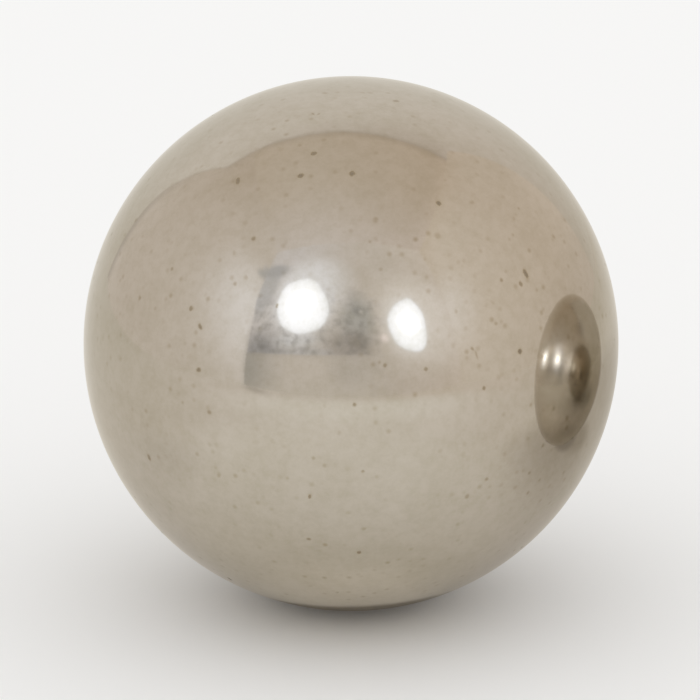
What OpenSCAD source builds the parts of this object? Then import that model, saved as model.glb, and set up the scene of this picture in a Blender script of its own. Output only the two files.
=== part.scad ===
// Steel ball: one solid sphere, ground and polished all over.
// Sizes are in millimetres. The origin is the centre of the ball, with +Z up.

/* [Ball] */
// Diameter of the ball
ball_d = 25.4; // [3:0.1:100]

/* [Hidden] */
// Sides drawn around the ball
$fn = 128;

// Warm grey of old polished steel
steel_colour = [0.79, 0.76, 0.71];

// The ball is a true sphere about the origin, so it rolls evenly in every direction
module ball() {
    color(steel_colour)
        sphere(d = ball_d);
}

ball();
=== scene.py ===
"""A steel ball on a pale table, mirroring the small light tent that it stands in.

The ball replaces the plain solid of the same size. Everything else is stage: the table, the
tent's cloth with two lamps shining through its front, the sheet behind, and a second ball
beside the first. Lengths are in millimetres until a mesh is made, and then in metres. The
camera is on the side of -Y, so -Y is called the front and +X the right.
"""
import logging
import math
import random
from collections.abc import Iterable, Sequence
from dataclasses import dataclass, field
from enum import Enum
from typing import Any, ClassVar

import bmesh
import bpy
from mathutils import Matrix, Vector, kdtree, noise


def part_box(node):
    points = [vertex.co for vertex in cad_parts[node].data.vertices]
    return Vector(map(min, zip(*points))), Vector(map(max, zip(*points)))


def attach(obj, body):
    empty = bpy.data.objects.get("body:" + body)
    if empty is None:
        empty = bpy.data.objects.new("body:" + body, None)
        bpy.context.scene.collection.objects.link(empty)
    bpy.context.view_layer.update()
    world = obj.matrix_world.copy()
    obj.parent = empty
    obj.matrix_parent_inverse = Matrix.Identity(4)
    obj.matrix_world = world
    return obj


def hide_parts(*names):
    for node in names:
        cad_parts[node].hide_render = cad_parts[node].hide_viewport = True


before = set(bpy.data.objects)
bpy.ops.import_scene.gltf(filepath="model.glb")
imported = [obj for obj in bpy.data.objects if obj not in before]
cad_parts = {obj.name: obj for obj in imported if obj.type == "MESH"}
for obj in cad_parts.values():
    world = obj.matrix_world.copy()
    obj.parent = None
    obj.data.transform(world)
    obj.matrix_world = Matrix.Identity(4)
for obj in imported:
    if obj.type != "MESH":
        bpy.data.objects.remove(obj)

log = logging.getLogger("steel_ball")

Colour = tuple[float, float, float]
Place = tuple[float, float, float]
Span = tuple[float, float]

WHITE = (1.0, 1.0, 1.0)
BLACK = (0.0, 0.0, 0.0)
METRES_PER_MM = 0.001
ROUNDING = 0.99999
NODE = "ball"
BODY = "root"


class Surroundings(Enum):
    """Which rays meet a piece of the stage."""

    SEEN = "seen by everything"
    MIRRORED = "met by mirror rays alone"


class Value:
    """A number that a node gives, on which Python's operators add Math nodes."""

    def __init__(self, shader: "Shader", socket: bpy.types.NodeSocket) -> None:
        """Wraps one output socket of a shader's tree."""
        self.shader = shader
        self.socket = socket

    def _math(self, operation: str, first: "Value | float", second: "Value | float") -> "Value":
        """Adds one Math node and gives its result."""
        node = self.shader.node("ShaderNodeMath", {"operation": operation}, {0: first, 1: second})
        return Value(self.shader, node.outputs[0])

    def __add__(self, other: "Value | float") -> "Value":
        """self + other."""
        return self._math("ADD", self, other)

    def __radd__(self, other: float) -> "Value":
        """other + self."""
        return self._math("ADD", other, self)

    def __sub__(self, other: "Value | float") -> "Value":
        """self - other."""
        return self._math("SUBTRACT", self, other)

    def __rsub__(self, other: float) -> "Value":
        """other - self."""
        return self._math("SUBTRACT", other, self)

    def __mul__(self, other: "Value | float") -> "Value":
        """self * other."""
        return self._math("MULTIPLY", self, other)

    def __rmul__(self, other: float) -> "Value":
        """other * self."""
        return self._math("MULTIPLY", other, self)

    def __truediv__(self, other: "Value | float") -> "Value":
        """self / other."""
        return self._math("DIVIDE", self, other)

    def __rtruediv__(self, other: float) -> "Value":
        """other / self."""
        return self._math("DIVIDE", other, self)

    def __pow__(self, other: "Value | float") -> "Value":
        """self ** other."""
        return self._math("POWER", self, other)

    def __rpow__(self, other: float) -> "Value":
        """other ** self."""
        return self._math("POWER", other, self)

    def ease(self, start: float, end: float) -> "Value":
        """A smooth step, from 0 where this value is start to 1 where it is end."""
        return self._range("SMOOTHSTEP", start, end)

    def ramp(self, start: float, end: float) -> "Value":
        """A straight climb, from 0 where this value is start to 1 where it is end."""
        return self._range("LINEAR", start, end)

    def _range(self, shape: str, start: float, end: float) -> "Value":
        """Adds one Map Range node that takes start and end to 0 and 1.

        Args:
            shape: The node's kind of interpolation.
            start: The value that becomes 0, which may be the larger of the two.
            end: The value that becomes 1.

        Returns:
            The result, held between 0 and 1.
        """
        limits = {"Value": self, "From Min": min(start, end), "From Max": max(start, end)}
        node = self.shader.node("ShaderNodeMapRange", {"interpolation_type": shape}, limits)
        climb = Value(self.shader, node.outputs[0])
        return climb if start < end else 1 - climb


class Shader:
    """The emptied node tree of a material or of the world.

    MIX_FIRST, MIX_SECOND and MIXED say which sockets of a Mix node are its colours, since it has
    others for numbers and vectors.
    """

    MIX_FIRST: ClassVar[int] = 6
    MIX_SECOND: ClassVar[int] = 7
    MIXED: ClassVar[int] = 2

    def __init__(self, owner: bpy.types.Material | bpy.types.World) -> None:
        """Switches the owner's nodes on and clears them.

        Args:
            owner: The material or world that the tree belongs to.
        """
        owner.use_nodes = True
        self.tree = owner.node_tree
        self.tree.nodes.clear()

    def node(
        self,
        kind: str,
        settings: dict[str, Any] | None = None,
        sockets: dict[str | int, Any] | None = None,
    ) -> bpy.types.Node:
        """Adds a node.

        Args:
            kind: The node's type, such as "ShaderNodeTexNoise".
            settings: Its properties, which are set before its sockets.
            sockets: What goes into each input: a Value, a socket to link, or a plain value.

        Returns:
            The new node.
        """
        made = self.tree.nodes.new(kind)
        for name, setting in (settings or {}).items():
            setattr(made, name, setting)
        for name, content in (sockets or {}).items():
            if isinstance(content, Value):
                self.tree.links.new(content.socket, made.inputs[name])
            elif isinstance(content, bpy.types.NodeSocket):
                self.tree.links.new(content, made.inputs[name])
            else:
                made.inputs[name].default_value = content
        return made

    def vector(self, operation: str, *inputs: Any, **named: Any) -> bpy.types.NodeSocket:
        """Adds a Vector Math node, with its vectors in order and its other inputs by name."""
        sockets = {**dict(enumerate(inputs)), **named}
        return self.node("ShaderNodeVectorMath", {"operation": operation}, sockets).outputs[0]

    def length(self, vector: bpy.types.NodeSocket) -> Value:
        """How long a vector is."""
        measure = self.node("ShaderNodeVectorMath", {"operation": "LENGTH"}, {0: vector})
        return Value(self, measure.outputs[1])

    def position(self) -> bpy.types.NodeSocket:
        """The place on the surface in millimetres, in the object's own frame."""
        metres = self.node("ShaderNodeTexCoord").outputs["Object"]
        return self.vector("SCALE", metres, Scale=1 / METRES_PER_MM)

    def axes(self, vector: bpy.types.NodeSocket) -> tuple[Value, Value, Value]:
        """The vector's x, y and z as values."""
        split = self.node("ShaderNodeSeparateXYZ", sockets={0: vector})
        return Value(self, split.outputs[0]), Value(self, split.outputs[1]), Value(self, split.outputs[2])

    def attribute(self, name: str) -> Value:
        """A number that the mesh keeps at each of its points."""
        kept = self.node("ShaderNodeAttribute", {"attribute_name": name})
        return Value(self, kept.outputs["Fac"])

    def noise(
        self, vector: bpy.types.NodeSocket, scale: float, detail: float, roughness: float = 0.5
    ) -> Value:
        """Soft noise around 0.5, with scale in repeats a millimetre."""
        sockets = {"Vector": vector, "Scale": scale, "Detail": detail, "Roughness": roughness}
        return Value(self, self.node("ShaderNodeTexNoise", sockets=sockets).outputs[0])

    def blend(
        self, factor: Value | float, first: Any, second: Any, how: str = "MIX"
    ) -> bpy.types.NodeSocket:
        """Mixes two colours.

        Args:
            factor: How much of the second colour shows, from 0 to 1.
            first: A colour, or the socket of one.
            second: A colour, or the socket of one.
            how: The Mix node's blend type.

        Returns:
            The socket of the mixed colour.
        """
        first, second = ((*c, 1.0) if isinstance(c, tuple) else c for c in (first, second))
        settings = {"data_type": "RGBA", "blend_type": how}
        sockets = {0: factor, self.MIX_FIRST: first, self.MIX_SECOND: second}
        return self.node("ShaderNodeMix", settings, sockets).outputs[self.MIXED]

    def shine(self, tone: Any, strength: float = 1.0) -> bpy.types.NodeSocket:
        """An emission shader of one tone, which is a colour or the socket of one."""
        tone = (*tone, 1.0) if isinstance(tone, tuple) else tone
        return self.node("ShaderNodeEmission", sockets={"Color": tone, "Strength": strength}).outputs[0]

    def clear(self, tone: Any) -> bpy.types.NodeSocket:
        """A clear shader that tints what is behind it with a colour or the socket of one."""
        return self.node("ShaderNodeBsdfTransparent", sockets={"Color": tone}).outputs[0]

    def surface(self, shader: bpy.types.NodeSocket) -> None:
        """Sends a shader to the material's output."""
        self.node("ShaderNodeOutputMaterial", sockets={"Surface": shader})


def new_material(name: str) -> tuple[bpy.types.Material, Shader]:
    """Makes a material of that name, with the shader that fills its empty node tree."""
    material = bpy.data.materials.new(name)
    return material, Shader(material)


def new_piece(name: str, shape: bmesh.types.BMesh) -> bpy.types.Object:
    """Turns a shape drawn in millimetres into a smooth-shaded object in metres.

    Args:
        name: The object's name.
        shape: The shape, which is freed.

    Returns:
        The object, linked to the scene.
    """
    bmesh.ops.scale(shape, vec=Vector.Fill(3, METRES_PER_MM), verts=shape.verts)
    for face in shape.faces:
        face.smooth = True
    mesh = bpy.data.meshes.new(name)
    shape.to_mesh(mesh)
    shape.free()
    piece = bpy.data.objects.new(name, mesh)
    bpy.context.scene.collection.objects.link(piece)
    return piece


def direction(across: float, up: float) -> Vector:
    """The unit vector across degrees round to the right from the front, and up degrees above level."""
    turn, rise = math.radians(across), math.radians(up)
    return Vector((math.sin(turn) * math.cos(rise), -math.cos(turn) * math.cos(rise), math.sin(rise)))


# ---------------------------------------------------------------- finishes


@dataclass(frozen=True)
class Patch:
    """A soft patch of another tone, which may be turned about its centre."""

    centre: Place
    reach: Place
    tone: Colour
    amount: float = 1.0
    core: float = 0.4
    turn: Place = (0.0, 0.0, 0.0)

    def over(self, shader: Shader, place: bpy.types.NodeSocket, tone: Any) -> bpy.types.NodeSocket:
        """Lays the patch over a tone.

        Args:
            shader: The shader that the nodes go into.
            place: The place on the surface in millimetres.
            tone: The surface's own tone.

        Returns:
            The socket of the tone with the patch on it.
        """
        turned = {
            "Vector": place,
            "Center": self.centre,
            "Rotation": tuple(math.radians(angle) for angle in self.turn),
        }
        settings = {"rotation_type": "EULER_XYZ", "invert": True}
        rotate = shader.node("ShaderNodeVectorRotate", settings, turned)
        offset = shader.vector("SUBTRACT", rotate.outputs[0], self.centre)
        share = shader.length(shader.vector("DIVIDE", offset, self.reach))
        return shader.blend(share.ease(1.0, self.core) * self.amount, tone, self.tone)


def patched(
    shader: Shader, place: bpy.types.NodeSocket, tone: Any, patches: Iterable[Patch]
) -> bpy.types.NodeSocket:
    """Lays patches over a tone, one after another.

    Args:
        shader: The shader that the nodes go into.
        place: The place on the surface in millimetres.
        tone: The surface's own tone.
        patches: The patches, from the lowest to the highest.

    Returns:
        The socket of the tone with the patches on it.
    """
    for patch in patches:
        tone = patch.over(shader, place, tone)
    return tone


@dataclass(frozen=True)
class Clouds:
    """Soft noise, of which the values between low and high are spread out from 0 to 1."""

    per_mm: float
    detail: float
    low: float
    high: float
    roughness: float = 0.5

    def spread(self, shader: Shader, place: bpy.types.NodeSocket) -> Value:
        """How thick the clouds are at a place, from 0 to 1."""
        return shader.noise(place, self.per_mm, self.detail, self.roughness).ease(self.low, self.high)


@dataclass(frozen=True)
class PolishedSteel:
    """Bright steel with a faint warm film, soft clouds in the polish and brown rust in its pits."""

    colour: Colour = (0.512, 0.469, 0.402)
    clouded: Colour = (0.455, 0.413, 0.337)
    rust: Colour = (0.205, 0.153, 0.092)
    stain: Colour = (0.345, 0.29, 0.2)
    polish: float = 0.055
    haze: float = 0.025
    rust_roughness: float = 0.7
    clouds: Clouds = Clouds(0.3, 4.0, 0.35, 0.7, 0.6)
    cloud_film: float = 0.45
    mottle: Clouds = Clouds(1.7, 5.0, 0.3, 0.75, 0.75)
    mottle_film: float = 0.85
    film_start: float = 0.15
    flecks_per_mm: tuple[float, ...] = (1.0, 1.7)
    fleck_reach: float = 0.2
    fleck_amount: float = 0.75
    crowds: Clouds = Clouds(0.16, 1.0, 0.38, 0.62)
    least_crowded: float = 0.4
    more_crowded: float = 0.6
    more_below: float = 0.3
    downward: Span = (2.0, -5.0)
    more_right: float = 0.15
    rightward: Span = (-2.0, 7.0)
    stain_full_at: float = 0.4
    stain_amount: float = 0.7
    rust_from: float = 0.15
    crust_from: float = 0.35
    ripple_per_mm: float = 0.8
    ripple_detail: float = 2.0
    ripple_height_mm: float = 0.002
    patches: tuple[Patch, ...] = ()

    def material(self) -> bpy.types.Material:
        """Builds the finish.

        Returns:
            The material, which reads the mesh's "rust" value at each point.
        """
        made, shader = new_material("polished_steel")
        place = shader.position()
        rust = shader.attribute("rust")
        clouds = self.clouds.spread(shader, place)
        mottle = self.mottle.spread(shader, place)
        film = clouds * self.cloud_film + mottle * self.mottle_film - self.film_start
        tone = shader.blend(film, self.colour, self.clouded)
        crowding = self.crowding(shader, place)
        for per_mm in self.flecks_per_mm:
            fleck = self.flecks(shader, place, per_mm) * crowding * self.fleck_amount
            tone = shader.blend(fleck, tone, self.stain)
        # On the second ball, these patches are painted highlights and painted reflections.
        tone = patched(shader, place, tone, self.patches)
        tone = shader.blend(rust.ramp(0.0, self.stain_full_at) * self.stain_amount, tone, self.stain)
        tone = shader.blend(rust.ease(self.rust_from, 1.0), tone, self.rust)
        crust = rust.ease(self.crust_from, 1.0)
        roughness = crust * (self.rust_roughness - self.polish) + self.polish + film * self.haze
        ripple = shader.noise(place, self.ripple_per_mm, self.ripple_detail)
        bump = {"Height": ripple, "Strength": 1.0, "Distance": self.ripple_height_mm * METRES_PER_MM}
        sockets = {
            "Base Color": tone,
            "Metallic": 1 - crust,
            "Roughness": roughness,
            "Normal": shader.node("ShaderNodeBump", sockets=bump).outputs[0],
        }
        shader.surface(shader.node("ShaderNodeBsdfPrincipled", sockets=sockets).outputs[0])
        return made

    def crowding(self, shader: Shader, place: bpy.types.NodeSocket) -> Value:
        """How thickly the flecks lie, which comes and goes over the ball.

        Args:
            shader: The shader that the nodes go into.
            place: The place on the surface in millimetres.

        Returns:
            A factor for the flecks, which grows downwards and to the right.
        """
        x, _, z = shader.axes(place)
        crowding = self.crowds.spread(shader, place) * self.more_crowded + self.least_crowded
        crowding += z.ramp(*self.downward) * self.more_below
        return crowding + x.ramp(*self.rightward) * self.more_right

    def flecks(self, shader: Shader, place: bpy.types.NodeSocket, per_mm: float) -> Value:
        """Faint stains much finer than the pits, scattered where cell points lie near the surface.

        Args:
            shader: The shader that the nodes go into.
            place: The place on the surface in millimetres.
            per_mm: How many cells there are to a millimetre.

        Returns:
            How strongly a fleck shows, from 0 to 1, which is weak for most of them.
        """
        cells = shader.node("ShaderNodeTexVoronoi", sockets={"Vector": place, "Scale": per_mm})
        distance = Value(shader, cells.outputs["Distance"]) / per_mm
        chance, _, _ = shader.axes(cells.outputs["Color"])
        return distance.ease(self.fleck_reach, 0.0) * chance ** 2


@dataclass(frozen=True)
class TableTop:
    """A pale matt table top, which turns into the white of the backdrop far from the ball."""

    colour: Colour = (0.93, 0.925, 0.915)
    fade: Span = (260.0, 900.0)

    def material(self) -> bpy.types.Material:
        """Builds the finish.

        Returns:
            The material.
        """
        made, shader = new_material("table_top")
        distance = shader.length(shader.position())
        top = shader.node("ShaderNodeBsdfDiffuse", sockets={"Color": (*self.colour, 1.0)}).outputs[0]
        sockets = {0: distance.ease(*self.fade), 1: top, 2: shader.shine(WHITE)}
        shader.surface(shader.node("ShaderNodeMixShader", sockets=sockets).outputs[0])
        return made


@dataclass(frozen=True)
class TableLightAndShade:
    """The tent's light and shade painted on the table: painted light in front, and painted shade
    behind and to the right.
    """

    patches: tuple[Patch, ...]
    back: Colour = (0.86, 0.827, 0.76)
    front: Colour = (1.02, 0.983, 0.961)
    forward: Span = (60.0, -60.0)
    back_right: Colour = (0.915, 0.885, 0.85)
    front_right: Colour = (0.985, 0.955, 0.92)
    rightward: Span = (-20.0, 110.0)

    def material(self) -> bpy.types.Material:
        """Builds the painted light and shade.

        Returns:
            The material, which is clear and tints what is behind it with that painted light and shade.
        """
        made, shader = new_material("table_shade")
        place = shader.position()
        x, y, _ = shader.axes(place)
        # Painted light in front and painted shade behind and to the right.
        ahead = y.ease(*self.forward)
        tone = shader.blend(ahead, self.back, self.front)
        right = shader.blend(ahead, self.back_right, self.front_right)
        tone = shader.blend(x.ramp(*self.rightward), tone, right, "MULTIPLY")
        shader.surface(shader.clear(patched(shader, place, tone, self.patches)))
        return made


@dataclass(frozen=True)
class LeftCloth:
    """The left wall's cloth, glowing with painted light and shade: darker towards the back, with
    painted shade along the lower back edge, near the floor, at the front's top corner and low down
    at the front, and painted light spilt from the lamps near the front.
    """

    floor: float
    back_low: Colour = (0.87, 0.81, 0.755)
    back_high: Colour = (0.8, 0.72, 0.64)
    back_rise: Span = (80.0, 270.0)
    front_low: Colour = (0.965, 0.925, 0.895)
    front_high: Colour = (0.95, 0.905, 0.88)
    front_rise: Span = (60.0, 320.0)
    forward: Span = (100.0, -140.0)
    foot: Colour = (0.98, 0.985, 0.985)
    foot_top: float = 60.0
    low_shade: float = 0.24
    low_shade_fall: Span = (170.0, 40.0)
    high_shade: float = 0.08
    high_shade_rise: Span = (200.0, 230.0)
    patches: tuple[Patch, ...] = (
        Patch((-185, -175, 118), (60, 175, 150), (1.2, 1.21, 1.28), core=0.1),
        Patch((-185, -183, 227), (60, 34, 30), (0.7, 0.73, 0.79), 0.85, 0.3),
        Patch((-185, -162, 211), (60, 27, 15), (0.7, 0.73, 0.78), 0.8, 0.2, turn=(-22, 0, 0)),
        Patch((-185, -181, 40), (60, 15, 95), (0.78, 0.77, 0.77), 0.6, 0.1),
    )

    def material(self) -> bpy.types.Material:
        """Builds the finish.

        Returns:
            The material, which reads the mesh's "dim" value at each point.
        """
        made, shader = new_material("left_cloth")
        place = shader.position()
        _, y, z = shader.axes(place)
        back = shader.blend(z.ramp(*self.back_rise), self.back_low, self.back_high)
        front = shader.blend(z.ramp(*self.front_rise), self.front_low, self.front_high)
        tone = shader.blend(y.ramp(*self.forward), back, front)
        # Painted shade near the floor.
        tone = shader.blend(z.ramp(self.foot_top, self.floor), tone, self.foot, "MULTIPLY")
        tone = patched(shader, place, tone, self.patches)
        # Painted shade along the back edge, strongest low down.
        dim = shader.attribute("dim")
        low = z.ramp(*self.low_shade_fall) * self.low_shade
        high = z.ramp(*self.high_shade_rise) * self.high_shade
        shader.surface(shader.shine(shader.blend(dim * (low + high), tone, BLACK)))
        return made


@dataclass(frozen=True)
class RoofCloth:
    """The roof's cloth, glowing with painted light and shade: paler in front, darker and browner
    towards the back and the right but paler again at the right edge, with painted shade along the
    back edge.
    """

    half_width: float
    middle: Colour = (0.845, 0.775, 0.7)
    front: Colour = (0.955, 0.915, 0.91)
    forward: Span = (0.0, -170.0)
    back: Colour = (0.96, 0.94, 0.91)
    backward: Span = (0.0, 170.0)
    right: Colour = (0.955, 0.92, 0.88)
    rightward: Span = (-60.0, 140.0)
    right_edge: Colour = (1.08, 1.08, 1.1)
    right_edge_from: float = 150.0
    shade: float = 0.13

    def material(self) -> bpy.types.Material:
        """Builds the finish.

        Returns:
            The material, which reads the mesh's "dim" value at each point.
        """
        made, shader = new_material("roof_cloth")
        x, y, _ = shader.axes(shader.position())
        tone = shader.blend(y.ramp(*self.forward), self.middle, self.front)
        tone = shader.blend(y.ramp(*self.backward), tone, self.back, "MULTIPLY")
        tone = shader.blend(x.ramp(*self.rightward), tone, self.right, "MULTIPLY")
        edge = x.ease(self.right_edge_from, self.half_width)
        tone = shader.blend(edge, tone, self.right_edge, "MULTIPLY")
        # Painted shade along the back edge.
        tone = shader.blend(shader.attribute("dim") * self.shade, tone, BLACK)
        shader.surface(shader.shine(tone))
        return made


@dataclass(frozen=True)
class RightCloth:
    """The right wall's cloth, which is warmer than the left wall's and glows with painted light and
    shade: paler in front, with painted shade near the floor and the roof and painted light spilt
    from the lamps near the front.
    """

    floor: float
    back: Colour = (0.885, 0.795, 0.705)
    front: Colour = (0.99, 0.92, 0.85)
    forward: Span = (60.0, -90.0)
    front_foot: Colour = (0.95, 0.955, 0.955)
    back_foot: Colour = (0.87, 0.875, 0.875)
    foot_backward: Span = (-20.0, 90.0)
    foot_top: float = 70.0
    head: Colour = (0.97, 0.95, 0.925)
    head_rise: Span = (230.0, 330.0)
    patches: tuple[Patch, ...] = (
        Patch((185, -175, 118), (60, 100, 110), (1.14, 1.11, 1.11), core=0.1),
    )

    def material(self) -> bpy.types.Material:
        """Builds the finish.

        Returns:
            The material.
        """
        made, shader = new_material("right_cloth")
        place = shader.position()
        _, y, z = shader.axes(place)
        tone = shader.blend(y.ramp(*self.forward), self.back, self.front)
        # Painted shade near the floor and near the roof.
        foot = shader.blend(y.ramp(*self.foot_backward), self.front_foot, self.back_foot)
        tone = shader.blend(z.ramp(self.foot_top, self.floor), tone, foot, "MULTIPLY")
        tone = shader.blend(z.ramp(*self.head_rise), tone, self.head, "MULTIPLY")
        shader.surface(shader.shine(patched(shader, place, tone, self.patches)))
        return made


@dataclass(frozen=True)
class FrontCloth:
    """The front's cloth, glowing with painted light: the lamps' light spreads round a dim middle,
    patchy with painted shade, with more painted shade at its left fold and low on the left, and
    small painted glints.
    """

    left: Colour = (0.99, 0.985, 1.04)
    middle: Colour = (0.93, 0.89, 0.865)
    to_middle: Span = (-120.0, 20.0)
    right: Colour = (1.005, 0.945, 0.905)
    to_right: Span = (60.0, 180.0)
    mottle: Clouds = Clouds(0.09, 4.0, 0.45, 0.62, 0.75)
    mottled_shade: Colour = (0.36, 0.355, 0.35)
    mottle_amount: float = 0.5
    mottle_below: Span = (170.0, 110.0)
    mottle_left_of: Span = (55.0, 25.0)
    patches: tuple[Patch, ...] = (
        Patch((-80, -181, 160), (108, 60, 128), (1.28, 1.34, 1.5), core=0.25),
        Patch((112, -181, 112), (122, 60, 122), (1.2, 1.18, 1.2), core=0.2),
        Patch((86, -181, 95), (52, 60, 70), (1.3, 1.32, 1.4), 0.7, 0.5),
        Patch((-172, -181, 176), (38, 60, 88), (0.85, 0.88, 0.96), 0.95, 0.5),
        Patch((-168, -181, 229), (57, 60, 32), (0.7, 0.725, 0.78), 0.97, 0.35, turn=(0, 20, 0)),
        Patch((-152, -181, 46), (85, 60, 56), (0.59, 0.6, 0.65), core=0.12),
        Patch((-60, -181, 40), (75, 60, 18), (0.9, 0.93, 1.02), 0.8, 0.3),
        Patch((-80, -181, 64), (52, 60, 18), (1.06, 1.12, 1.24), 0.8, 0.25),
        Patch((-80, -181, 130), (62, 60, 72), (1.28, 1.34, 1.5), 0.7, 0.75),
        Patch((9, -181, 95), (36, 60, 62), (0.73, 0.745, 0.765), core=0.3),
        Patch((-2, -181, 54), (52, 60, 40), (0.63, 0.605, 0.605), 0.9, 0.2),
        Patch((-141, -181, 53), (15, 60, 8), (0.36, 0.365, 0.38), 0.75, 0.1),
        Patch((-112, -181, 47), (45, 60, 6), (0.5, 0.51, 0.53), 0.6, 0.1),
        Patch((10, -181, 110), (14, 60, 13), (0.45, 0.46, 0.49), 0.6, 0.1),
        Patch((9, -181, 62), (17, 60, 20), (0.42, 0.4, 0.38), 0.55, 0.1),
        Patch((-16, -181, 64), (10, 60, 14), (0.5, 0.49, 0.48), 0.3, 0.1),
        Patch((15, -181, 108), (4, 60, 5), (1.4, 1.4, 1.45), 0.9, 0.2),
        Patch((47, -181, 66), (8, 60, 9), (1.7, 1.6, 1.7), 0.8, 0.2),
    )

    def tone(self, shader: Shader, place: bpy.types.NodeSocket) -> bpy.types.NodeSocket:
        """Works out the cloth's tone.

        Args:
            shader: The shader that the nodes go into.
            place: The place on the cloth in millimetres.

        Returns:
            The socket of the tone.
        """
        x, _, z = shader.axes(place)
        tone = shader.blend(x.ramp(*self.to_middle), self.left, self.middle)
        tone = shader.blend(x.ramp(*self.to_right), tone, self.right)
        # Painted light round the lamps, painted shade at the left fold and low on the left, and small
        # painted glints.
        tone = patched(shader, place, tone, self.patches)
        # Painted shade in mottles below the lamps and left of the right lamp.
        dim = self.mottle.spread(shader, place) * z.ramp(*self.mottle_below) * x.ramp(*self.mottle_left_of)
        return shader.blend(dim * self.mottle_amount, tone, self.mottled_shade)

    def material(self) -> bpy.types.Material:
        """Builds the finish.

        Returns:
            The glowing material.
        """
        made, shader = new_material("front_cloth")
        shader.surface(shader.shine(self.tone(shader, shader.position())))
        return made


@dataclass(frozen=True)
class SillCloth:
    """The cloth along the table's front edge, which turns into the front's own on the right, with
    painted shade: darker low down, at its left end, in its middle and along its top edge.
    """

    floor: float
    top: float
    front: FrontCloth
    low: Colour = (0.9, 0.87, 0.835)
    high: Colour = (0.935, 0.9, 0.875)
    high_from: float = 20.0
    top_shade: Colour = (0.92, 0.92, 0.93)
    top_shade_depth: float = 7.0
    front_foot: Colour = (0.945, 0.93, 0.915)
    front_foot_fall: Span = (40.0, 0.0)
    to_front: Span = (10.0, 75.0)
    patches: tuple[Patch, ...] = (
        Patch((-185, -181, 16), (112, 60, 95), (0.6, 0.595, 0.58), 0.96, 0.1),
        Patch((0, -181, 25), (45, 60, 40), (0.79, 0.765, 0.745), 0.7, 0.2),
    )

    def material(self) -> bpy.types.Material:
        """Builds the finish.

        Returns:
            The material.
        """
        made, shader = new_material("front_sill")
        place = shader.position()
        x, _, z = shader.axes(place)
        # Painted shade low down, at the left end, in the middle and along the top edge.
        tone = shader.blend(z.ramp(self.high_from, self.floor), self.high, self.low)
        tone = patched(shader, place, tone, self.patches)
        top_shade = z.ramp(self.top - self.top_shade_depth, self.top)
        tone = shader.blend(top_shade, tone, self.top_shade, "MULTIPLY")
        foot = z.ramp(*self.front_foot_fall)
        front = shader.blend(foot, self.front.tone(shader, place), self.front_foot, "MULTIPLY")
        shader.surface(shader.shine(shader.blend(x.ease(*self.to_front), tone, front)))
        return made


@dataclass(frozen=True)
class HungCloth:
    """The cloth hung behind the tent, which is paler than the tent's and palest on the left, and
    glows with painted light and shade: darker low down, near its top and towards the right.
    """

    low: Colour = (0.8, 0.765, 0.695)
    high: Colour = (0.95, 0.915, 0.875)
    rise: Span = (10.0, 140.0)
    head: Colour = (0.93, 0.915, 0.91)
    head_rise: Span = (250.0, 340.0)
    right: Colour = (0.92, 0.89, 0.865)
    rightward: Span = (10.0, 180.0)

    def material(self) -> bpy.types.Material:
        """Builds the finish.

        Returns:
            The material.
        """
        made, shader = new_material("hung_sheet")
        x, _, z = shader.axes(shader.position())
        # Painted light and shade: darker low down, near the top and towards the right.
        tone = shader.blend(z.ramp(*self.rise), self.low, self.high)
        tone = shader.blend(z.ramp(*self.head_rise), tone, self.head, "MULTIPLY")
        tone = shader.blend(x.ramp(*self.rightward), tone, self.right, "MULTIPLY")
        shader.surface(shader.shine(tone))
        return made


@dataclass(frozen=True)
class EdgeShadow:
    """The soft shade next to an edge of the cloth."""

    deepest: Colour = (0.82, 0.8, 0.77)

    def material(self) -> bpy.types.Material:
        """Builds the finish.

        Returns:
            A clear material that dims what is behind it by the mesh's "dim" value at each point.
        """
        made, shader = new_material("edge_shadow")
        shader.surface(shader.clear(shader.blend(shader.attribute("dim"), WHITE, self.deepest)))
        return made


# ---------------------------------------------------------------- the ball


@dataclass(frozen=True)
class Pit:
    """A rust speck in its pit, placed on the side of the ball that faces the camera.

    Its place is given as it is seen, in millimetres right of and above the ball's middle, on the
    scale that makes the ball's outline as wide as the ball.
    """

    right: float
    up: float
    size: float
    stretch: float = 1.0
    lean: float = 0.0
    strength: float = 1.0


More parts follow.
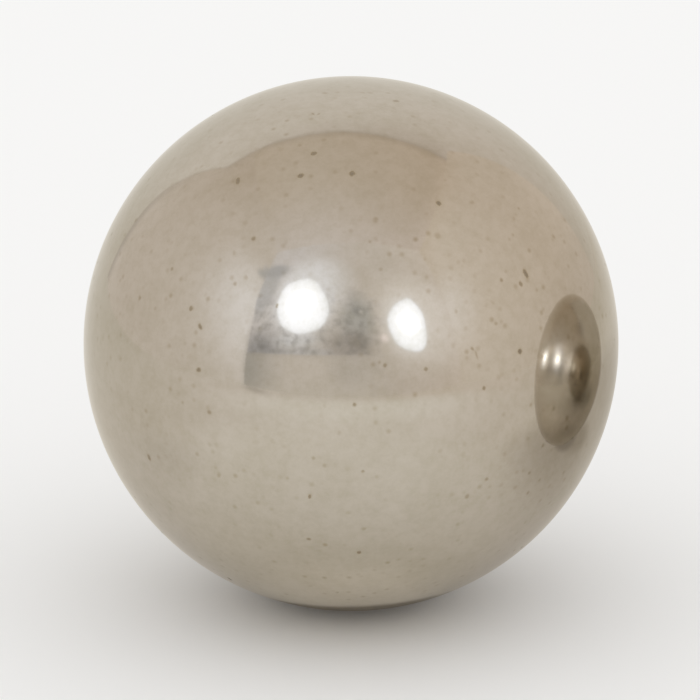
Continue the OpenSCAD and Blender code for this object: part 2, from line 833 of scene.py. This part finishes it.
@dataclass(frozen=True)
class Mark:
    """A pit at its place on the sphere, with the directions that it is stretched along and across.

    TRACE, FULL, DEEP and HALO say how far out, as shares of its own size, its rust ends, its rust
    is full, its hollow ends and its stain ends.
    """

    centre: Vector
    along: Vector
    across: Vector
    length: float
    width: float
    strength: float

    TRACE: ClassVar[float] = 1.65
    FULL: ClassVar[float] = 0.55
    DEEP: ClassVar[float] = 0.5
    HALO: ClassVar[float] = 3.2
    HALO_RUST: ClassVar[float] = 0.13
    RAGGED: ClassVar[float] = 0.25
    RAGS_PER_MM: ClassVar[float] = 12
    FAINT: ClassVar[float] = 0.6
    HALO_MARGIN: ClassVar[float] = 1.1
    TRACE_MARGIN: ClassVar[float] = 1.3

    def reach(self) -> float:
        """How far from its centre the mark changes the surface."""
        return self.length / 2 * self.HALO * self.HALO_MARGIN

    def finely(self) -> float:
        """How far from its centre the mark needs a fine mesh."""
        return self.length / 2 * self.TRACE * self.TRACE_MARGIN

    def share(self, point: Vector) -> float:
        """How far out in the mark a point is.

        Args:
            point: A point on the sphere, in millimetres.

        Returns:
            0 at the centre, 1 on the ragged line that looks like its edge, and more outside it.
        """
        offset = point - self.centre
        along = offset.dot(self.along) / (self.length / 2)
        across = offset.dot(self.across) / (self.width / 2)
        return math.hypot(along, across) * (1 + self.RAGGED * noise.noise(point * self.RAGS_PER_MM))

    def rust(self, share: float) -> float:
        """How rusty the steel is at a place.

        Args:
            share: How far out in the mark the place is.

        Returns:
            The rust, even in and near the pit and fading out to a faint stain.
        """
        fade = min(1.0, max(0.0, (self.TRACE - share) / (self.TRACE - self.FULL)))
        halo = min(1.0, max(0.0, (self.HALO - share) / (self.HALO - self.FULL)))
        return self.strength * max(fade**2 * (3 - 2 * fade), self.HALO_RUST * halo**2)

    def depth(self, share: float) -> float:
        """How deep the pit is there, from 0 to 1; a faint mark has no pit."""
        sunk = max(0.0, (self.strength - self.FAINT) / (1 - self.FAINT))
        return sunk * max(0.0, 1 - (share / self.DEEP) ** 2) ** 2


@dataclass(frozen=True)
class View:
    """Where the camera stands, and how large the ball is in its frame."""

    radius: float
    up: float = 18.0
    distance: float = 254.0
    frame_px: float = 700.0
    ball_px: float = 267.5
    right_px: float = 1.0
    above_px: float = 6.5
    clip_start: float = 0.001

    @property
    def spread(self) -> float:
        """The tangent of the angle between the ball's middle and its outline."""
        return math.tan(math.asin(self.radius / self.distance))

    @property
    def back(self) -> Vector:
        """The direction from the ball's centre to the camera."""
        return direction(0, self.up)

    @property
    def upright(self) -> Vector:
        """The direction that is upright as the camera sees it."""
        return direction(0, self.up + 90)

    def build(self) -> bpy.types.Object:
        """Makes the camera, aimed at the ball's centre from the front.

        Returns:
            The scene's camera, whose lens gives the ball its size in the frame.
        """
        data = bpy.data.cameras.new("camera")
        data.lens = self.ball_px * data.sensor_width / (self.frame_px * self.spread)
        data.shift_x = -self.right_px / self.frame_px
        data.shift_y = -self.above_px / self.frame_px
        data.clip_start = self.clip_start
        camera = bpy.data.objects.new("camera", data)
        camera.location = self.back * self.distance * METRES_PER_MM
        camera.rotation_euler = (-self.back).to_track_quat("-Z", "Y").to_euler()
        bpy.context.scene.collection.objects.link(camera)
        bpy.context.scene.camera = camera
        return camera

    def on_ball(self, right: float, up: float) -> Vector:
        """Finds the point of the ball that is seen at a place.

        Args:
            right: Millimetres right of its middle, on the scale that makes its outline as wide as it is.
            up: Millimetres above its middle, on the same scale.

        Returns:
            The direction of that point from the ball's centre.
        """
        start = self.back * self.distance
        scale = self.spread / self.radius
        ray = (Vector((right * scale, 0, 0)) + self.upright * up * scale - self.back).normalized()
        near = start.dot(ray)
        reach = -near - math.sqrt(near**2 - start.length_squared + self.radius**2)
        return (start + ray * reach).normalized()


@dataclass
class SteelBall:
    """The ball: a finely divided sphere with a shallow pit pressed in under each strong rust speck.

    The pits are placed on the side that faces the camera. The scattered ones lie where the
    cosine of the angle from the camera's direction is below scattered_below.
    """

    diameter: float
    view: View
    steel: PolishedSteel = field(default_factory=PolishedSteel)
    name: str = "steel_ball"
    even_levels: int = 7
    pit_levels: tuple[float, ...] = (1.7, 1.3)
    pit_depth: float = 0.06
    scattered: int = 70
    scattered_below: float = 0.25
    smallest: float = 0.1
    largest: float = 0.2
    weakest: float = 0.4
    seed: int = 11
    pits: tuple[Pit, ...] = (
        Pit(0.90, 11.90, 0.2, 1.2, 0, 0.2),
        Pit(2.14, 11.51, 0.22, 1.3, 5, 0.4),
        Pit(-1.80, 10.90, 0.09, 2.6, -42, 0.4),
        Pit(-1.53, 10.90, 0.08, 2.4, 40, 0.35),
        Pit(-1.76, 9.02, 0.17, 1.5, 20, 0.8),
        Pit(-2.39, 7.97, 0.19, 1.2, 10),
        Pit(0.05, 8.07, 0.2, 1.2, 60),
        Pit(-5.37, 7.71, 0.15, 2.3, 92, 0.85),
        Pit(-7.09, 8.41, 0.18, strength=0.2),
        Pit(4.16, 6.66, 0.18, 1.1, 100),
        Pit(5.75, 6.70, 0.16, 1.5, 10, 0.25),
        Pit(7.96, 6.41, 0.13, strength=0.3),
        Pit(7.73, 5.93, 0.12, 2.0, 85, 0.2),
        Pit(7.69, 5.15, 0.14, strength=0.25),
        Pit(7.52, 4.96, 0.14, strength=0.2),
        Pit(4.46, 7.76, 0.14, strength=0.15),
        Pit(4.12, 5.11, 0.26, strength=0.25),
        Pit(-4.63, 4.98, 0.19, strength=0.5),
        Pit(-3.09, 4.80, 0.16, strength=0.15),
        Pit(-5.55, 4.28, 0.14, 1.5, 90, 0.2),
        Pit(0.90, 4.84, 0.13, strength=0.3),
        Pit(1.42, 3.52, 0.17, strength=0.25),
        Pit(3.51, 3.99, 0.14, strength=0.15),
        Pit(3.59, 3.15, 0.16, strength=0.2),
        Pit(9.97, 5.12, 0.16, strength=0.15),
        Pit(-8.50, 3.54, 0.18, strength=0.35),
        Pit(8.30, 3.31, 0.18, 2.1, -62, 0.9),
        Pit(7.35, 3.42, 0.14, strength=0.2),
        Pit(7.14, 3.01, 0.17, strength=0.4),
        Pit(8.06, 2.83, 0.18, 1.2, -60, 0.55),
        Pit(8.83, 2.54, 0.13, strength=0.2),
        Pit(-5.51, 2.83, 0.17, strength=0.35),
        Pit(-10.03, 2.16, 0.19, strength=0.35),
        Pit(-3.51, 1.79, 0.11, 1.8, 68, 0.5),
        Pit(6.74, 1.93, 0.12, 1.8, -35, 0.2),
        Pit(-9.30, 1.66, 0.17, strength=0.2),
        Pit(-7.60, 1.66, 0.19, 1.1, 60, 0.55),
        Pit(4.99, 1.52, 0.13, 1.3, 90, 0.25),
        Pit(-7.16, 0.80, 0.15, 1.8, -62, 0.7),
        Pit(6.88, 0.95, 0.17, strength=0.3),
        Pit(8.02, -0.38, 0.2),
        Pit(5.76, -0.25, 0.12, 1.8, -42, 0.4),
        Pit(5.95, -0.52, 0.09, 4.2, -72, 0.3),
        Pit(1.35, -0.89, 0.14, strength=0.25),
        Pit(1.61, -1.03, 0.17, 1.1, 90, 0.45),
        Pit(3.56, -1.21, 0.17, strength=0.5),
        Pit(-7.23, -1.25, 0.17, 1.3, 10, 0.75),
        Pit(6.31, -2.13, 0.15, 1.2, 75, 0.6),
        Pit(0.16, -2.90, 0.17, strength=0.5),
        Pit(8.54, -2.91, 0.16, strength=0.3),
        Pit(-7.99, -2.81, 0.14, strength=0.25),
        Pit(-6.73, -3.26, 0.2, strength=0.4),
        Pit(-1.26, -2.95, 0.14, strength=0.15),
        Pit(-0.56, -4.24, 0.16, 1.3, 70, 0.2),
        Pit(-9.58, -5.42, 0.2, 1.5, 105, 0.5),
        Pit(9.11, -4.85, 0.17, 1.2, 60, 0.35),
        Pit(-1.79, -5.44, 0.16, strength=0.3),
        Pit(-1.26, -5.80, 0.18, strength=0.25),
        Pit(-6.28, -6.28, 0.18, strength=0.25),
        Pit(-3.02, -6.39, 0.16, strength=0.2),
        Pit(8.47, -6.14, 0.17, strength=0.35),
        Pit(8.95, -6.48, 0.16, strength=0.3),
        Pit(6.44, -6.44, 0.18, strength=0.4),
        Pit(8.40, -7.09, 0.17, strength=0.35),
        Pit(5.51, -7.26, 0.2, 1.2, 80, 0.35),
        Pit(0.56, -6.07, 0.14, strength=0.4),
        Pit(-1.96, -7.26, 0.12, 1.9, 85, 0.65),
        Pit(-2.01, -9.28, 0.16, 1.2, 0, 0.45),
        Pit(0.38, -9.92, 0.16, 1.1, 30, 0.8),
    )

    @property
    def radius(self) -> float:
        """Half the diameter."""
        return self.diameter / 2

    def build(self) -> bpy.types.Object:
        """Makes the ball.

        Returns:
            The ball, with a "rust" value at each point of its mesh.
        """
        marks = self.marks()
        shape = bmesh.new()
        bmesh.ops.create_icosphere(shape, subdivisions=self.even_levels, radius=self.radius)
        for reach in self.pit_levels:
            self.divide_near(shape, marks, reach)
        self.press(shape, marks)
        piece = new_piece(self.name, shape)
        self.true_up(piece.data)
        return piece

    def marks(self) -> list[Mark]:
        """Places every mark.

        Returns:
            The listed marks, and then others scattered over the rest of the ball.
        """
        rng = random.Random(self.seed)
        made = [self.seen_mark(pit) for pit in self.pits]
        while len(made) < len(self.pits) + self.scattered:
            centre, other = (Vector([rng.gauss(0, 1) for _ in range(3)]).normalized() for _ in range(2))
            size = self.smallest + (self.largest - self.smallest) * rng.random() ** 2
            stretch, strength = 1 + rng.random() ** 3, rng.uniform(self.weakest, 1)
            if centre.dot(self.view.back) < self.scattered_below:
                made.append(self.mark(centre, centre.cross(other).normalized(), size, stretch, strength))
        return made

    def seen_mark(self, pit: Pit) -> Mark:
        """Puts a pit that is placed as it is seen on the sphere.

        Args:
            pit: The pit, whose lean is the angle of its length from the level as it is seen.

        Returns:
            The mark at that place.
        """
        centre = self.view.on_ball(pit.right, pit.up)
        back, lean = self.view.back, math.radians(pit.lean)
        seen = Vector((math.cos(lean), 0, 0)) + self.view.upright * math.sin(lean)
        along = (seen - back * (seen.dot(centre) / back.dot(centre))).normalized()
        return self.mark(centre, along, pit.size, pit.stretch, pit.strength)

    def mark(self, centre: Vector, along: Vector, size: float, stretch: float, strength: float) -> Mark:
        """Lays a mark on the sphere, given the directions of its centre and of its length."""
        return Mark(centre * self.radius, along, centre.cross(along), size * stretch, size, strength)

    def divide_near(self, shape: bmesh.types.BMesh, marks: Sequence[Mark], reach: float) -> None:
        """Halves the edges round each mark once and draws the new points out to the sphere.

        Args:
            shape: The ball's shape, which is changed.
            marks: The marks that need finer edges.
            reach: How far round a mark they go, as a multiple of the part that needs them.
        """
        near = self.index(marks)
        widest = max(mark.finely() for mark in marks)
        chosen = []
        for edge in shape.edges:
            middle = (edge.verts[0].co + edge.verts[1].co) / 2
            found = near.find_range(middle, widest * reach)
            if any(distance < marks[i].finely() * reach for _, i, distance in found):
                chosen.append(edge)
        bmesh.ops.subdivide_edges(shape, edges=chosen, cuts=1, use_grid_fill=True)
        bmesh.ops.triangulate(shape, faces=[face for face in shape.faces if len(face.verts) > 3])
        for point in shape.verts:
            point.co *= self.radius / point.co.length

    def index(self, marks: Sequence[Mark]) -> kdtree.KDTree:
        """Sorts the marks by place.

        Args:
            marks: The marks.

        Returns:
            A search tree of their centres.
        """
        tree = kdtree.KDTree(len(marks))
        for i, mark in enumerate(marks):
            tree.insert(mark.centre, i)
        tree.balance()
        return tree

    def press(self, shape: bmesh.types.BMesh, marks: Sequence[Mark]) -> None:
        """Presses each mark's pit into the surface and writes how rusty each point is.

        Args:
            shape: The ball's shape, which is changed.
            marks: The marks.
        """
        near = self.index(marks)
        widest = max(mark.reach() for mark in marks)
        rust = shape.verts.layers.float.new("rust")
        for point in shape.verts:
            sunk = 0.0
            for _, i, _ in near.find_range(point.co, widest):
                mark = marks[i]
                share = mark.share(point.co)
                point[rust] = max(point[rust], mark.rust(share))
                sunk = max(sunk, self.pit_depth * mark.width * mark.depth(share))
            point.co -= point.co.normalized() * sunk

    def true_up(self, mesh: bpy.types.Mesh) -> None:
        """Points the shading of every face corner outside the pits straight out from the centre.

        Args:
            mesh: The ball's mesh, in metres.
        """
        rim = self.radius * METRES_PER_MM * ROUNDING
        normals = []
        for point in mesh.vertices:
            outside = point.co.length > rim
            normals.append(point.co.normalized() if outside else point.normal)
        mesh.normals_split_custom_set_from_vertices(normals)

    def dress(self, piece: bpy.types.Object) -> None:
        """Gives the ball its finish, and puts it in the place of the plain solid.

        Args:
            piece: The ball.
        """
        piece.data.materials.append(self.steel.material())
        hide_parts(NODE)
        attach(piece, BODY)


# ---------------------------------------------------------------- the stage


def set_on_stage(
    piece: bpy.types.Object, finish: bpy.types.Material, met_by: Surroundings
) -> bpy.types.Object:
    """Gives a piece of the stage its finish and chooses the rays that meet it.

    Args:
        piece: The piece.
        finish: Its material.
        met_by: Which rays meet it.

    Returns:
        The same piece.
    """
    piece.data.materials.append(finish)
    if met_by is Surroundings.MIRRORED:
        piece.visible_camera = False
        piece.visible_diffuse = False
        piece.visible_shadow = False
    return piece


def sheet(
    name: str,
    rows: Sequence[Sequence[Place]],
    finish: bpy.types.Material,
    met_by: Surroundings,
    dim: Sequence[float] | None = None,
) -> bpy.types.Object:
    """Makes a sheet of the stage through rows of points.

    Args:
        name: The sheet's name.
        rows: Its points in millimetres, as rows of the same length.
        finish: Its material.
        met_by: Which rays meet it.
        dim: How shaded each point of a row is, which the sheet's points keep as "dim".

    Returns:
        The sheet.
    """
    shape = bmesh.new()
    shade = shape.verts.layers.float.new("dim")
    points = [[shape.verts.new(place) for place in row] for row in rows]
    for row in points:
        for point, amount in zip(row, dim or [0.0] * len(row)):
            point[shade] = amount
    for lower, upper in zip(points, points[1:]):
        for i in range(len(lower) - 1):
            shape.faces.new((lower[i], lower[i + 1], upper[i + 1], upper[i]))
    return set_on_stage(new_piece(name, shape), finish, met_by)


@dataclass
class Table:
    """The pale table top that the ball stands on, running out of sight on every side."""

    level: float
    reach: float = 2000.0

    def build(self) -> bpy.types.Object:
        """Makes the table top.

        Returns:
            The table top.
        """
        ends = (-self.reach, self.reach)
        rows = [[(x, y, self.level) for x in ends] for y in ends]
        return sheet("table_top", rows, TableTop().material(), Surroundings.SEEN)


@dataclass
class TableShade:
    """The tent's light and shade painted over the table, with painted shade under the two balls,
    which only a mirror shows.
    """

    level: float
    second: Place
    reach: float = 250.0
    lift: float = 0.05

    def patches(self) -> tuple[Patch, ...]:
        """Lists the patches of painted light and shade.

        Returns:
            The painted pool of the lamps' light in front, a painted shade streak on its left, painted
            light and shade round the first ball's foot, and painted shade under the second.
        """
        x, y, z = self.second
        # Each patch is painted light or painted shade, seen only by mirror rays.
        return (
            Patch((0, -92, z), (122, 84, 50), (1.15, 1.146, 1.137), core=0.15),
            Patch((-5, -27, z), (38, 36, 50), (1.1, 1.085, 1.065), core=0.35),
            Patch((-3, 20, z), (36, 24, 50), (0.87, 0.825, 0.745), 0.85, 0.3),
            Patch((-1, -7, z), (15, 9, 50), (1.08, 1.06, 1.01), core=0.3),
            Patch((0, -6, z), (7, 6, 50), (1.32, 1.3, 1.25), core=0.2),
            Patch((-24, -6, z), (10, 14, 50), (0.93, 0.9, 0.865), core=0.05),
            Patch((-125, -150, z), (24, 75, 50), (0.72, 0.69, 0.66), 0.9, 0.1, turn=(0, 0, -52)),
            Patch((x + 1, y + 22, z), (40, 36, 50), (0.58, 0.535, 0.47), 0.7, 0.1),
            Patch((x - 2, y, z), (16, 17, 50), (0.45, 0.41, 0.35), 0.55, 0.1),
            Patch((x - 2.5, y + 6.5, z), (5, 6.5, 50), (0.5, 0.455, 0.39), core=0.3),
            Patch((x - 0.9, y + 2.5, z), (4.6, 4.6, 50), (0.38, 0.345, 0.3), core=0.6),
            Patch((0.4, 0, z), (5.1, 5.1, 50), (0.66, 0.615, 0.55), core=0.8),
            Patch((0, 0, z), (3.2, 3.2, 50), (1.3, 1.23, 1.12), core=0.6),
        )

    def build(self) -> bpy.types.Object:
        """Makes the sheet of painted light and shade.

        Returns:
            A clear sheet just above the table.
        """
        ends = (-self.reach, self.reach)
        rows = [[(x, y, self.level + self.lift) for x in ends] for y in ends]
        return sheet("table_shade", rows, TableLightAndShade(self.patches()).material(), Surroundings.MIRRORED)


@dataclass(frozen=True)
class Hotspot:
    """A lamp's face, seen through the cloth: hottest in its middle and soft at its outline.

    Each of its rings is the outline at a scale, with how much brighter than the edge it is.
    """

    name: str
    middle: Place
    core: float
    outline: tuple[tuple[float, float], ...]
    edge: Colour = (1.2, 1.27, 1.42)
    rim: Colour = (2.0, 2.17, 2.52)
    hot: Colour = (10.0, 10.8, 12.4)
    rings: tuple[tuple[float, float], ...] = (
        (1.0, 0.0), (0.96, 0.6), (0.86, 0.82), (0.72, 0.95), (0.55, 1.0),
    )
    steps: int = 5

    def material(self) -> bpy.types.Material:
        """Builds the glow.

        Returns:
            The material, which climbs quickly from the outline and is brightest round the middle.
        """
        made, shader = new_material(self.name)
        share = shader.attribute("share")
        away = shader.length(shader.vector("SUBTRACT", shader.position(), self.middle))
        tone = shader.blend(share, self.edge, self.rim)
        shader.surface(shader.shine(shader.blend(away.ease(self.core, 0.0), tone, self.hot)))
        return made

    def rounded(self) -> list[Vector]:
        """Rounds the outline.

        Returns:
            The points of a smooth closed curve through it.
        """
        points = [Vector((x, self.middle[1], z)) for x, z in self.outline]
        made = []
        for i, start in enumerate(points):
            before, end, after = points[i - 1], points[(i + 1) % len(points)], points[(i + 2) % len(points)]
            bend = 2 * before - 5 * start + 4 * end - after
            twist = 3 * start - before - 3 * end + after
            for step in range(self.steps):
                t = step / self.steps
                made.append(start + (end - before + (bend + twist * t) * t) * t / 2)
        return made

    def build(self) -> bpy.types.Object:
        """Makes the face as rings round its middle.

        Returns:
            The face, which only a mirror shows.
        """
        shape = bmesh.new()
        share = shape.verts.layers.float.new("share")
        middle = Vector(self.middle)
        centre = shape.verts.new(middle)
        centre[share] = 1.0
        outer: list[bmesh.types.BMVert] = []
        for scale, amount in self.rings:
            ring = [shape.verts.new(middle.lerp(point, scale)) for point in self.rounded()]
            for point in ring:
                point[share] = amount
            for i in range(len(outer)):
                shape.faces.new((outer[i - 1], outer[i], ring[i], ring[i - 1]))
            outer = ring
        for i, point in enumerate(outer):
            shape.faces.new((outer[i - 1], point, centre))
        return set_on_stage(new_piece(self.name, shape), self.material(), Surroundings.MIRRORED)


@dataclass
class LightTent:
    """The cloth tent round the ball, with the lamps that shine through its front; the cloth's glow
    is painted light and shade.

    Each pair of left_corner is a height and how far right the corner is there, and each pair of
    left_back a height and how far back the left wall reaches. Each pair of roof_back is a place
    across the roof and how far back the roof reaches.
    """

    floor: float
    half_width: float = 185.0
    front: float = -181.0
    behind: float = 208.0
    roof: float = 320.0
    sill_top: float = 42.5
    sill_inset: float = 7.0
    sill_gap: float = 1.0
    lamp_gap: float = 2.0
    # fold: how far in from the back edges the painted shade along them reaches
    fold: float = 26.0
    left_shade_folds: float = 1 / 3
    roof_shade_folds: float = 0.7
    hung_half_width: float = 320.0
    hung_top: float = 420.0
    front_cloth: FrontCloth = field(default_factory=FrontCloth)
    left_corner: tuple[tuple[float, float], ...] = (
        (-12.7, -176), (56, -177.6), (112, -181), (136, -187), (150, -190.5), (200, -192), (320, -201),
    )
    left_back: tuple[tuple[float, float], ...] = (
        (-12.7, 205), (40, 203), (56, 202), (90, 198), (112, 191), (136, 182), (150, 178),
        (180, 168), (210, 156), (228, 151), (250, 163), (283, 182), (308, 200), (320, 206),
    )
    roof_back: tuple[tuple[float, float], ...] = (
        (-185, 206), (-167, 203), (-139, 197), (-110, 188), (-60, 181), (0, 173), (60, 166),
        (120, 162), (185, 160),
    )

    def build(self) -> list[bpy.types.Object]:
        """Makes the tent.

        Returns:
            Its pieces, which only a mirror shows.
        """
        side, low, high = self.half_width, self.floor, self.roof
        folded, shaded = (0.0, 0.0, 1.0), (1.0, 0.0)
        left = [
            [(self.corner(z), self.front, z), (-side, y - self.fold, z), (-side, y, z)]
            for z, y in self.left_back
        ]
        roof = [[(x, self.front, high), (x, y - self.fold, high), (x, y, high)] for x, y in self.roof_back]
        roof[0][0] = (self.corner(high), self.front, high)
        right = [[(side, self.front, z), (side, self.behind, z)] for z in (low, high)]
        front = [[(x, self.front, z), (side, self.front, z)] for z, x in self.left_corner]
        left_shade, roof_shade = self.fold * self.left_shade_folds, self.fold * self.roof_shade_folds
        beyond_left = [[(-side, y, z), (-side, y + left_shade, z)] for z, y in self.left_back]
        beyond_roof = [[(x, y, high), (x, y + roof_shade, high)] for x, y in self.roof_back]
        return [
            sheet("left_shadow", beyond_left, EdgeShadow().material(), Surroundings.MIRRORED, shaded),
            sheet("roof_shadow", beyond_roof, EdgeShadow().material(), Surroundings.MIRRORED, shaded),
            sheet("tent_left", left, LeftCloth(low).material(), Surroundings.MIRRORED, folded),
            sheet("tent_roof", roof, RoofCloth(side).material(), Surroundings.MIRRORED, folded),
            sheet("tent_right", right, RightCloth(low).material(), Surroundings.MIRRORED),
            sheet("tent_front", front, self.front_cloth.material(), Surroundings.MIRRORED),
            self.hung_sheet(),
            self.sill(),
            *self.lamps(),
        ]

    def corner(self, z: float) -> float:
        """Finds the front's left corner, whose fold isn't quite straight.

        Args:
            z: The height.

        Returns:
            How far right the corner is at that height.
        """
        for (low, start), (high, end) in zip(self.left_corner, self.left_corner[1:]):
            if z <= high:
                break
        return start + (end - start) * (z - low) / (high - low)

    def hung_sheet(self) -> bpy.types.Object:
        """Makes the sheet hung behind.

        Returns:
            The sheet.
        """
        ends = (-self.hung_half_width, self.hung_half_width)
        rows = [[(x, self.behind, z) for x in ends] for z in (self.floor, self.hung_top)]
        return sheet("hung_sheet", rows, HungCloth().material(), Surroundings.MIRRORED)

    def sill(self) -> bpy.types.Object:
        """Makes the strip of cloth that stands along the table's front edge.

        Returns:
            The strip.
        """
        cloth = SillCloth(self.floor, self.sill_top, self.front_cloth)
        ends = (-self.half_width + self.sill_inset, self.half_width)
        rows = [[(x, self.front + self.sill_gap, z) for x in ends] for z in (self.floor, self.sill_top)]
        return sheet("front_sill", rows, cloth.material(), Surroundings.MIRRORED)

    def lamps(self) -> list[bpy.types.Object]:
        """Makes the faces of the two lamps, as they show through the cloth.

        Returns:
            The left face and the right one.
        """
        at = self.front + self.lamp_gap
        left = (
            (-105, 182), (-84, 185), (-68, 179), (-55, 166), (-46, 150), (-38, 133), (-33, 114), (-34, 98),
            (-40, 84), (-54, 75), (-75, 72), (-92, 76), (-107, 85), (-118, 99), (-125, 115), (-129, 132),
            (-129, 150), (-126, 165), (-118, 176),
        )
        right = (
            (98, 139), (86, 135), (72, 126), (60, 112), (53, 97), (54, 80), (60, 62), (71, 51), (87, 46),
            (103, 47), (113, 57), (117, 76), (119, 97), (117, 114), (109, 128),
        )
        return [
            Hotspot("left_lamp", (-82, at, 128), 30, left).build(),
            Hotspot("right_lamp", (88, at, 92), 22, right).build(),
        ]


@dataclass
class SecondBall:
    """The smaller, duller ball to the right, which shows only as it is mirrored in the first.

    RIGHT and BEHIND say where it stands, and SIZE how large it is, in radii of the first ball.
    """

    foot: Place
    radius: float
    colour: Colour = (0.57, 0.525, 0.455)
    clouded: Colour = (0.51, 0.465, 0.385)
    polish: float = 0.19
    levels: int = 6
    # The patches are painted highlights round the mirrored lamps' glints, and painted reflections that
    # lighten and darken the steel where it faces the first ball.
    patches: tuple[Patch, ...] = (
        Patch((22.4, -8.2, 0.0), (8, 5, 6.5), (0.62, 0.575, 0.5), 0.8, 0.4),
        Patch((21.4, -7.4, -6.3), (5, 3.2, 2.8), (0.66, 0.61, 0.53), 0.9, 0.3),
        Patch((21.8, -7.6, 0.95), (8, 4, 1.6), (0.92, 0.86, 0.76), 0.9, 0.35),
        Patch((19.4, -4.5, -0.35), (4, 1.7, 1.2), (1.0, 0.95, 0.86), 0.95, 0.25),
        Patch((18.9, -3.1, -1.5), (3, 1.1, 1.5), (0.97, 0.9, 0.79), 0.95, 0.2),
        Patch((18.8, -1.3, -4.1), (3, 1.6, 1.6), (0.42, 0.39, 0.335), 0.9, 0.3),
        Patch((19.9, -1.8, 2.0), (3, 1.4, 1.3), (0.44, 0.405, 0.35), 0.85, 0.2),
        Patch((19.6, -3.0, -7.5), (3, 2.5, 1.3), (0.48, 0.44, 0.38), 0.9, 0.2),
    )

    RIGHT: ClassVar[float] = 2.23
    BEHIND: ClassVar[float] = -0.16
    SIZE: ClassVar[float] = 0.76

    @classmethod
    def beside(cls, radius: float) -> "SecondBall":
        """The second ball in its place beside a ball of some radius, on the same table."""
        return cls((cls.RIGHT * radius, cls.BEHIND * radius, -radius), cls.SIZE * radius)

    def build(self) -> bpy.types.Object:
        """Makes the second ball.

        Returns:
            The ball, whose steel has painted highlights and painted reflections in patches where it
            faces the first.
        """
        steel = PolishedSteel(self.colour, self.clouded, polish=self.polish, patches=self.patches)
        shape = bmesh.new()
        bmesh.ops.create_icosphere(shape, subdivisions=self.levels, radius=self.radius)
        bmesh.ops.translate(shape, vec=Vector(self.foot) + Vector((0, 0, self.radius)), verts=shape.verts)
        return set_on_stage(new_piece("second_ball", shape), steel.material(), Surroundings.MIRRORED)


@dataclass
class SoftLight:
    """The even white light of the room, which is also the backdrop."""

    strength: float = 1.0

    def build(self) -> None:
        """Fills the world with white."""
        world = bpy.data.worlds.new("soft_light")
        bpy.context.scene.world = world
        shader = Shader(world)
        sky = {"Color": (*WHITE, 1.0), "Strength": self.strength}
        light = shader.node("ShaderNodeBackground", sockets=sky)
        shader.node("ShaderNodeOutputWorld", sockets={"Surface": light.outputs[0]})


def main() -> None:
    """Builds the ball and its stage, and reports each piece."""
    logging.basicConfig(level=logging.INFO, format="%(name)s: %(message)s")
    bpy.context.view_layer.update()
    low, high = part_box(NODE)
    diameter = (high[2] - low[2]) / METRES_PER_MM
    view = View(radius=diameter / 2)
    ball = SteelBall(diameter, view)
    piece = ball.build()
    ball.dress(piece)
    log.info("%s: %.2f mm across, %d triangles", piece.name, diameter, len(piece.data.polygons))

    bpy.context.scene.view_settings.view_transform = "Standard"
    floor = -ball.radius
    second = SecondBall.beside(ball.radius)
    stage = [
        Table(floor).build(),
        TableShade(floor, second.foot).build(),
        *LightTent(floor).build(),
        second.build(),
    ]
    SoftLight().build()
    view.build()
    for item in stage:
        log.info("stage: %s", item.name)


if __name__ == "__main__":
    main()
